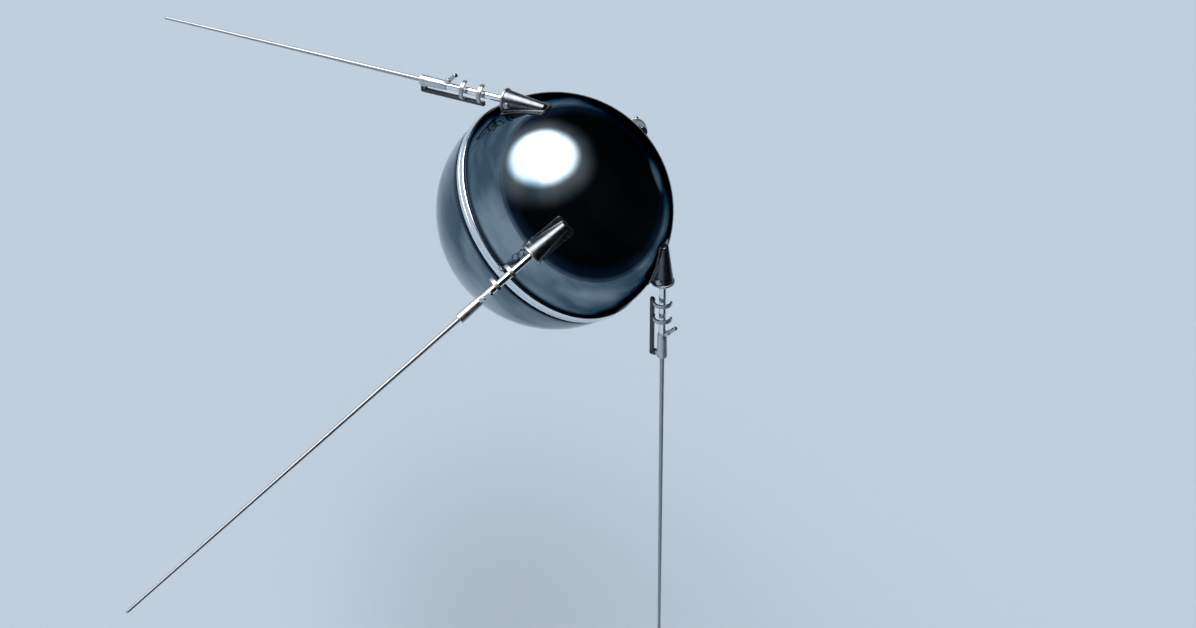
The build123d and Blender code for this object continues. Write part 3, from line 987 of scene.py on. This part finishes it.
def cowl_skin(horn):
    """The cowl with its fillet and foot, as one closed skin laid over a grid."""
    loops = [cowl_loop(horn, row) for row in cowl_rows(horn)]
    columns, rows = len(loops[0]), len(loops)
    bm = bmesh.new()
    bmesh.ops.create_grid(bm, x_segments=columns, y_segments=rows - 1, size=1)
    for v in bm.verts:
        column = round((v.co.x + 1) / 2 * columns) % columns
        row = round((v.co.y + 1) / 2 * (rows - 1))
        v.co = loops[row][column]
    bmesh.ops.remove_doubles(bm, verts=bm.verts, dist=1e-6)
    bmesh.ops.dissolve_degenerate(bm, edges=bm.edges, dist=1e-7)
    rim = [e for e in bm.edges if e.is_boundary]
    filled = bmesh.ops.holes_fill(bm, edges=rim, sides=0)
    bmesh.ops.triangulate(bm, faces=filled["faces"])
    bmesh.ops.recalc_face_normals(bm, faces=bm.faces)
    return bm


def cowl_lip(horn):
    """The rolled lip, pressed up where it meets the ball."""
    start = horn.mouth - horn.lip_width
    inner = horn.mouth_radius - horn.wall - horn.edge / 2
    outer = horn.mouth_radius + horn.lip_height
    middle = (start + horn.mouth) / 2
    outline = rounded([
        (middle, inner, 0), (start, inner, horn.edge), (start, outer, horn.lip_height),
        (horn.mouth, outer, horn.lip_height), (horn.mouth, inner, horn.edge), (middle, inner, 0),
    ], steps=6)[:-1]
    bm = turned(outline, closed=True)
    clear = BALL_RADIUS + horn.gap
    for v in bm.verts:
        out = v.co - BALL_CENTRE
        if out.length < clear:
            v.co = BALL_CENTRE + out.normalized() * clear
    return bm


def foot_screws(horn):
    """Low screws along both sides of the foot."""
    from_edge = 2.2 * horn.screw_radius
    slot_turn = 1.7
    reach = horn.foot_half_width - from_edge
    spread = horn.mouth - horn.tail - horn.foot_margin
    parts = []
    for i in range(2 * horn.screws):
        x = horn.tail + spread * (i // 2) / (horn.screws - 1)
        point = over_ball(x, -reach if i % 2 else reach, horn.foot_wall + horn.gap)
        head = screw(horn.screw_radius, horn.screw_height)
        parts.append(set_on(head, point, point - BALL_CENTRE, i * slot_turn))
    return joined(parts)


def boss_reach(horn, pivot):
    """How far the bosses reach to each side of the antenna's line."""
    return cone_radius(horn, pivot) + horn.boss_height


def boss_pair(horn, rod, pivot):
    """The two bored bosses that carry the pin, one on each side of the cowl."""
    start, bore = rod.eye_half_width + rod.eye_gap, rod.pin_radius + rod.pin_clearance
    outline = ring_outline(start, boss_reach(horn, pivot), bore, horn.boss_radius, horn.edge)
    boss = cross_turned(outline, pivot)
    return [mirrored(boss.copy(), (1, -1, 1)), boss]


def pin_shape(horn, rod, pivot):
    """The pivot pin, with a head on each boss and a shallow mark in the middle of each head."""
    seat = boss_reach(horn, pivot)
    end = seat + rod.pin_head_height
    mark_end = end - rod.edge / 2
    mark_radius = rod.pin_radius * 0.8
    half = rounded([
        (0, rod.pin_radius, 0), (seat, rod.pin_radius, 0), (seat, rod.pin_head_radius, 0),
        (end, rod.pin_head_radius, rod.edge), (end, rod.pin_radius, 0),
        (mark_end, mark_radius, 0), (mark_end, 0, 0),
    ])
    one_side = spun([(r, a, 0) for a, r in half], (0, 1, 0), steps=PLAIN_STEPS)
    pin = joined([one_side, mirrored(one_side.copy(), (1, -1, 1))])
    bmesh.ops.remove_doubles(pin, verts=pin.verts, dist=1e-6)
    bmesh.ops.translate(pin, verts=pin.verts, vec=(pivot, 0, 0))
    return pin


class SATELLITE_OT_horns(bpy.types.Operator):
    """Make the four conical cowls with their bosses, pins and screws"""
    bl_idname = "satellite.horns"
    bl_label = "Cowls and pivot pins"

    def execute(self, context):
        horn = context.scene.satellite_horn
        rod = context.scene.satellite_rod
        for antenna in ANTENNAS:
            # The lip and the bosses take the brighter ground finish; on the lip it is partly a painted
            # highlight
            machined = [cowl_lip(horn)] + boss_pair(horn, rod, antenna.pivot)
            cowl = joined([cowl_skin(horn)] + [second_finish(bm) for bm in machined])
            antenna_piece(cowl, antenna, "cowl", "root", ["cast", "hook"], "horn")
            antenna_piece(foot_screws(horn), antenna, "foot_screws", "root", ["fastener"])
            pin = pin_shape(horn, rod, antenna.pivot)
            antenna_piece(pin, antenna, "pin", "root", ["lever"], "pivot_pin")
        return {"FINISHED"}


def lever_frame(rod, sleeve_start):
    """The frame of the lever: its z runs out along it from the rod's line."""
    place = Matrix.Translation((sleeve_start + rod.lever_along, 0, 0))
    return place @ Matrix.Rotation(-rod.lever_lean, 4, "Y")


def standing(outline, matrix):
    """Spin an outline of (radius, height) about z and set it in a frame."""
    bm = spun([(r, 0, h) for r, h in outline], (0, 0, 1), steps=PLAIN_STEPS)
    bmesh.ops.transform(bm, matrix=matrix, verts=bm.verts)
    return bm


def rod_shape(rod, pivot, sleeve_start):
    """The root rod from its eye to the bottom of its socket."""
    end = sleeve_start + rod.rod_socket
    start = pivot + rod.pin_radius + 2 * rod.edge
    shaft = turned(rounded([
        (start, 0, 0), (start, rod.radius, 0), (end, rod.radius, rod.edge), (end, 0, 0),
    ]))
    half, bore = rod.eye_half_width, rod.pin_radius + rod.pin_clearance
    eye = cross_turned(ring_outline(-half, half, bore, rod.eye_radius, rod.edge), pivot, steps=64)
    return joined([shaft, eye])


def sleeve_shape(rod, rail, whip_radius, start, end):
    """The turned sleeve with its grooves, the lever's boss and the pad of the rail's lug."""
    clearance = rod.pin_clearance
    rod_bore, lever_bore = rod.radius + clearance, rod.lever_radius + clearance
    whip_bore = whip_radius + clearance
    shoulder = start + rod.sleeve_shoulder
    shoulder_radius = (rod.sleeve_nose_radius + rod.sleeve_radius) / 2
    cut = rod.sleeve_groove_width
    corners = [
        (start + rod.rod_socket, 0, 0), (start + rod.rod_socket, rod_bore, 0),
        (start, rod_bore, rod.edge / 2), (start, rod.sleeve_nose_radius, rod.edge),
        (shoulder, shoulder_radius, rod.sleeve_blend),
    ]
    for number in (2, 1):
        back = number * rod.sleeve_groove_step
        place = end - back
        radius = rod.sleeve_radius - back / (end - shoulder) * (rod.sleeve_radius - shoulder_radius)
        floor = radius - rod.sleeve_groove_depth
        corners += [
            (place - cut / 2, radius, 0), (place - cut / 4, floor, 0),
            (place + cut / 4, floor, 0), (place + cut / 2, radius, 0),
        ]
    corners += [
        (end, rod.sleeve_radius, rod.edge), (end, whip_bore, rod.edge / 2),
        (end - rod.whip_socket, whip_bore, 0), (end - rod.whip_socket, 0, 0),
    ]
    body = turned(rounded(corners))
    boss_top = rod.lever_boss_reach
    socket_floor = boss_top - rod.lever_socket
    boss = standing(rounded([
        (0, rod.radius, 0), (rod.lever_boss_radius, rod.radius, 0),
        (rod.lever_boss_radius, boss_top, rod.edge), (lever_bore, boss_top, rod.edge / 2),
        (lever_bore, socket_floor, 0), (0, socket_floor, 0),
    ]), lever_frame(rod, start))
    half = rail.width / 2
    pad = block((end - rail.lug_length, -half, -rail.lug_seat), (end, half, -rod.radius), rod.edge)
    return joined([body, boss, pad])


def lever_shape(rod, start):
    """The lever: a shank with a thicker grip at its end."""
    foot = rod.lever_boss_reach - rod.lever_socket
    grip = rod.lever_reach - rod.grip_length
    return standing(rounded([
        (0, foot, 0), (rod.lever_radius, foot, 0), (rod.lever_radius, grip, 0),
        (rod.grip_radius, grip, rod.edge), (rod.grip_radius, rod.lever_reach, rod.grip_radius / 3),
        (0, rod.lever_reach, 0),
    ]), lever_frame(rod, start))


class SATELLITE_OT_rods(bpy.types.Operator):
    """Make the root rods, the sleeves and the levers"""
    bl_idname = "satellite.rods"
    bl_label = "Rods, sleeves and levers"

    def execute(self, context):
        rod = context.scene.satellite_rod
        rail = context.scene.satellite_rail
        whip_radius = context.scene.satellite_whip.root_radius
        for antenna in ANTENNAS:
            body = antenna.body
            end = antenna.span("sleeve")[1].x
            start = antenna.span("root_rod")[1].x - rod.rod_socket
            shaft = rod_shape(rod, antenna.pivot, start)
            antenna_piece(shaft, antenna, "rod", body, ["rod"], "root_rod")
            sleeve = sleeve_shape(rod, rail, whip_radius, start, end)
            antenna_piece(sleeve, antenna, "turned_sleeve", body, ["sleeve"], "sleeve")
            lever = lever_shape(rod, start)
            antenna_piece(lever, antenna, "lever_stub", body, ["lever"], "lever")
        return {"FINISHED"}


def hook_shape(rail, place, side):
    """A flat strip bent round the rod, its free end rounded off."""
    half, wall = rail.hook_width / 2, rail.hook_wall / 2
    middle = rail.hook_inner + wall
    edge = rail.hook_edge
    section = rounded([
        (0, -wall, 0), (-half, -wall, edge), (-half, wall, edge),
        (half, wall, edge), (half, -wall, edge), (0, -wall, 0),
    ])[:-1]
    sweep = rail.hook_sweep
    bm = spun(
        [(a, 0, -middle + b) for a, b in section], (1, 0, 0),
        turn=side * sweep, steps=PLAIN_STEPS, closed=True,
    )
    # The tip keeps a narrow flat. Points at the start of the bend may read as almost a full turn
    tip_flat, turn_slack = 0.02, 0.01
    for v in bm.verts:
        turn = (Vector((v.co.z, v.co.y)).angle_signed(Vector((-1, 0))) * -side) % FULL_TURN
        past = 1 - (sweep - min(turn, sweep)) * middle / half
        if past > 0 and turn < sweep + turn_slack:
            v.co.x *= sqrt(max(1 - past * past, tip_flat))
    ends = [e for e in bm.edges if e.is_boundary]
    bmesh.ops.holes_fill(bm, edges=ends, sides=0)
    bmesh.ops.recalc_face_normals(bm, faces=bm.faces)
    bmesh.ops.translate(bm, verts=bm.verts, vec=(place, 0, 0))
    return bm


def rail_shape(rail, end, side):
    """The rail with its lug and its two hooks, which bend round the rod from one side."""
    start = rail.first_hook - rail.overhang
    half = rail.width / 2
    bar = block((start, -half, -rail.offset - half), (end, half, -rail.offset + half), rail.edge)
    lug = block((end - rail.lug_length, -half, -rail.offset), (end, half, -rail.lug_seat), rail.lug_edge)
    places = (rail.first_hook, rail.second_hook)
    return joined([bar, lug] + [second_finish(hook_shape(rail, place, side)) for place in places])


def rail_fasteners(rail, end):
    """A rivet under each hook and two screws through the lug."""
    under = -rail.offset - rail.width / 2
    down = (0, 0, -1)
    parts = []
    for place in (rail.first_hook, rail.second_hook):
        parts.append(set_on(dome(rail.rivet_radius, rail.rivet_height), (place, 0, under), down))
    slot_turn = 1.2
    for number, share in enumerate((0.25, 0.75)):
        head = screw(rail.rivet_radius, rail.screw_height)
        parts.append(set_on(head, (end - rail.lug_length * share, 0, under), down, number * slot_turn))
    return joined(parts)


class SATELLITE_OT_rails(bpy.types.Operator):
    """Make the rails with their hooks, lugs, rivets and screws"""
    bl_idname = "satellite.rails"
    bl_label = "Rails and hooks"

    def execute(self, context):
        rail = context.scene.satellite_rail
        for antenna in ANTENNAS:
            low, high = antenna.span("rail")
            side = 1 if high.y > -low.y else -1
            bar = rail_shape(rail, high.x, side)
            antenna_piece(bar, antenna, "hook_rail", antenna.body, ["rail", "hook"], "rail")
            heads = rail_fasteners(rail, high.x)
            antenna_piece(heads, antenna, "rail_fasteners", antenna.body, ["fastener"])
        return {"FINISHED"}


class SATELLITE_OT_whips(bpy.types.Operator):
    """Make the four tapered whips"""
    bl_idname = "satellite.whips"
    bl_label = "Whips"

    def execute(self, context):
        whip = context.scene.satellite_whip
        rod = context.scene.satellite_rod
        for antenna in ANTENNAS:
            low, high = antenna.span("whip")
            root = low.x + rod.whip_socket
            tip_rounding = whip.tip_radius * 0.8
            bm = turned(rounded([
                (low.x, 0, 0), (low.x, whip.root_radius, 0), (root, whip.root_radius, 0),
                (high.x, whip.tip_radius, tip_rounding), (high.x, 0, 0),
            ]), steps=32)
            antenna_piece(bm, antenna, "long_whip", antenna.body, ["whip"], "whip")
        return {"FINISHED"}


# Studio

def toward(azimuth, elevation):
    """The direction at an azimuth and elevation. Azimuth 0 is towards -Y and 90 towards +X."""
    return Vector((sin(azimuth) * cos(elevation), -cos(azimuth) * cos(elevation), sin(elevation)))


def make_camera(studio):
    """A camera on the photograph's line of sight, turned so that the ball's centre falls on its pixel."""
    focal = BALL_PIXEL_RADIUS * sqrt((studio.view_distance / BALL_RADIUS) ** 2 - 1)
    data = bpy.data.cameras.new("Camera")
    data.sensor_width = studio.sensor
    data.lens = focal * studio.sensor / PHOTO_SIZE[0]
    data.clip_start, data.clip_end = 0.1, 2 * studio.floor_radius
    camera = bpy.data.objects.new("Camera", data)
    bpy.context.scene.collection.objects.link(camera)
    back = toward(studio.view_azimuth, studio.view_elevation)
    level = back.to_track_quat("Z", "Y")
    offset = Vector((BALL_PIXEL[0] - PHOTO_SIZE[0] / 2, PHOTO_SIZE[1] / 2 - BALL_PIXEL[1], -focal))
    aim = Vector((0, 0, -1)).rotation_difference(offset.normalized())
    roll = Matrix.Rotation(-studio.view_roll, 4, "Z")
    camera.matrix_world = (
        Matrix.Translation(back * studio.view_distance) @ level.to_matrix().to_4x4() @ roll
        @ aim.to_matrix().to_4x4().inverted()
    )
    bpy.context.scene.camera = camera


def glow(tree, look, azimuth, elevation, core, edge):
    """How far a direction is inside a soft round lamp, from 0 to 1."""
    lamp = toward(azimuth, elevation)
    dot = add(tree, "ShaderNodeVectorMath", {0: look, 1: lamp}, operation="DOT_PRODUCT")
    return add(tree, "ShaderNodeMapRange", {
        "Value": dot.outputs["Value"], "From Min": cos(edge), "From Max": cos(core),
    }, interpolation_type="SMOOTHERSTEP").outputs["Result"]


def make_light(studio):
    """The studio as a world: a dark ceiling, a wall that is paler at floor level, a large soft lamp with
    a veil round it, and a small back lamp.
    """
    world = bpy.data.worlds.new("Studio")
    bpy.context.scene.world = world
    world.use_nodes = True
    tree = world.node_tree
    tree.nodes.clear()
    look = add(tree, "ShaderNodeTexCoord").outputs["Generated"]
    height = add(tree, "ShaderNodeSeparateXYZ", {"Vector": look}).outputs["Z"]
    wall = add(tree, "ShaderNodeValToRGB", {"Fac": height})
    stops = (
        (0.0, studio.wall_foot),
        (sin(studio.wall_low_height), studio.wall_low),
        (sin(studio.ceiling_height), studio.ceiling),
    )
    wall.color_ramp.interpolation = "EASE"
    wall.color_ramp.elements.remove(wall.color_ramp.elements[1])
    wall.color_ramp.elements[0].color = opaque(stops[0][1])
    for place, tone in stops[1:]:
        wall.color_ramp.elements.new(place).color = opaque(tone)
    total = add(tree, "ShaderNodeBackground", {"Color": wall.outputs["Color"]}).outputs["Background"]
    for name in ("key", "veil", "back"):
        azimuth, elevation, core, edge, strength = [
            getattr(studio, f"{name}_{value}")
            for value in ("azimuth", "elevation", "core", "edge", "strength")
        ]
        inside = glow(tree, look, azimuth, elevation, core, edge)
        level = add(tree, "ShaderNodeMath", {0: inside, 1: strength}, operation="MULTIPLY")
        lamp = add(tree, "ShaderNodeBackground", {
            "Color": opaque((1, 1, 1)), "Strength": level.outputs["Value"],
        }).outputs["Background"]
        total = add(tree, "ShaderNodeAddShader", {0: total, 1: lamp}).outputs["Shader"]
    add(tree, "ShaderNodeOutputWorld", {"Surface": total})


def make_floor(studio):
    """A plain pale floor, seen from above only."""
    bm = bmesh.new()
    bmesh.ops.create_circle(bm, cap_ends=True, segments=128, radius=studio.floor_radius)
    mesh = bpy.data.meshes.new("Floor")
    bm.to_mesh(mesh)
    bm.free()
    mesh.transform(Matrix.Translation((0, 0, -studio.floor_drop)))
    material = bpy.data.materials.new("Pale studio floor")
    material.use_nodes = True
    tree = material.node_tree
    shader = tree.nodes["Principled BSDF"]
    plug(tree, shader, {"Base Color": opaque(studio.floor), "Roughness": 1.0, "Specular IOR Level": 0.0})
    below = add(tree, "ShaderNodeNewGeometry").outputs["Backfacing"]
    clear = add(tree, "ShaderNodeBsdfTransparent").outputs["BSDF"]
    mixed = add(tree, "ShaderNodeMixShader", {"Fac": below, 1: shader.outputs["BSDF"], 2: clear})
    tree.links.new(mixed.outputs["Shader"], tree.nodes["Material Output"].inputs["Surface"])
    mesh.materials.append(material)
    floor = bpy.data.objects.new("Floor", mesh)
    bpy.context.scene.collection.objects.link(floor)


class SATELLITE_OT_studio(bpy.types.Operator):
    """Set the camera, the floor and the light"""
    bl_idname = "satellite.studio"
    bl_label = "Studio"

    def execute(self, context):
        studio = context.scene.satellite_studio
        context.scene.view_settings.view_transform = "Standard"
        make_camera(studio)
        make_light(studio)
        make_floor(studio)
        return {"FINISHED"}


class SATELLITE_OT_finishes(bpy.types.Operator):
    """Make the finishes that the pieces share"""
    bl_idname = "satellite.finishes"
    bl_label = "Finishes"

    def execute(self, context):
        make_finishes(context.scene.satellite_colours, context.scene.satellite_ball)
        return {"FINISHED"}


STEPS = ("finishes", "ball", "seat", "horns", "rods", "rails", "whips", "studio")


class SATELLITE_PT_panel(bpy.types.Panel):
    """Sizes, colours and steps of the satellite"""
    bl_idname = "SATELLITE_PT_panel"
    bl_label = "Satellite"
    bl_space_type = "VIEW_3D"
    bl_region_type = "UI"
    bl_category = "Satellite"

    def draw(self, context):
        for step in STEPS:
            self.layout.operator(f"satellite.{step}")
        for group in GROUPS:
            box = self.layout.box()
            settings = getattr(context.scene, group)
            box.label(text=group.replace("_", " ").capitalize())
            for name in type(settings).__annotations__:
                box.prop(settings, name)


CLASSES = (
    *GROUPS.values(),
    SATELLITE_OT_finishes,
    SATELLITE_OT_ball,
    SATELLITE_OT_seat,
    SATELLITE_OT_horns,
    SATELLITE_OT_rods,
    SATELLITE_OT_rails,
    SATELLITE_OT_whips,
    SATELLITE_OT_studio,
    SATELLITE_PT_panel,
)


def register():
    """Register the classes and give the scene its settings."""
    for each in CLASSES:
        bpy.utils.register_class(each)
    for name, group in GROUPS.items():
        setattr(bpy.types.Scene, name, PointerProperty(type=group))


def unregister():
    """Undo register()."""
    for name in GROUPS:
        delattr(bpy.types.Scene, name)
    for each in reversed(CLASSES):
        bpy.utils.unregister_class(each)


def main():
    """Take every step in turn."""
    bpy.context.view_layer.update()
    register()
    for step in STEPS:
        getattr(bpy.ops.satellite, step)()


if __name__ == "__main__":
    main()
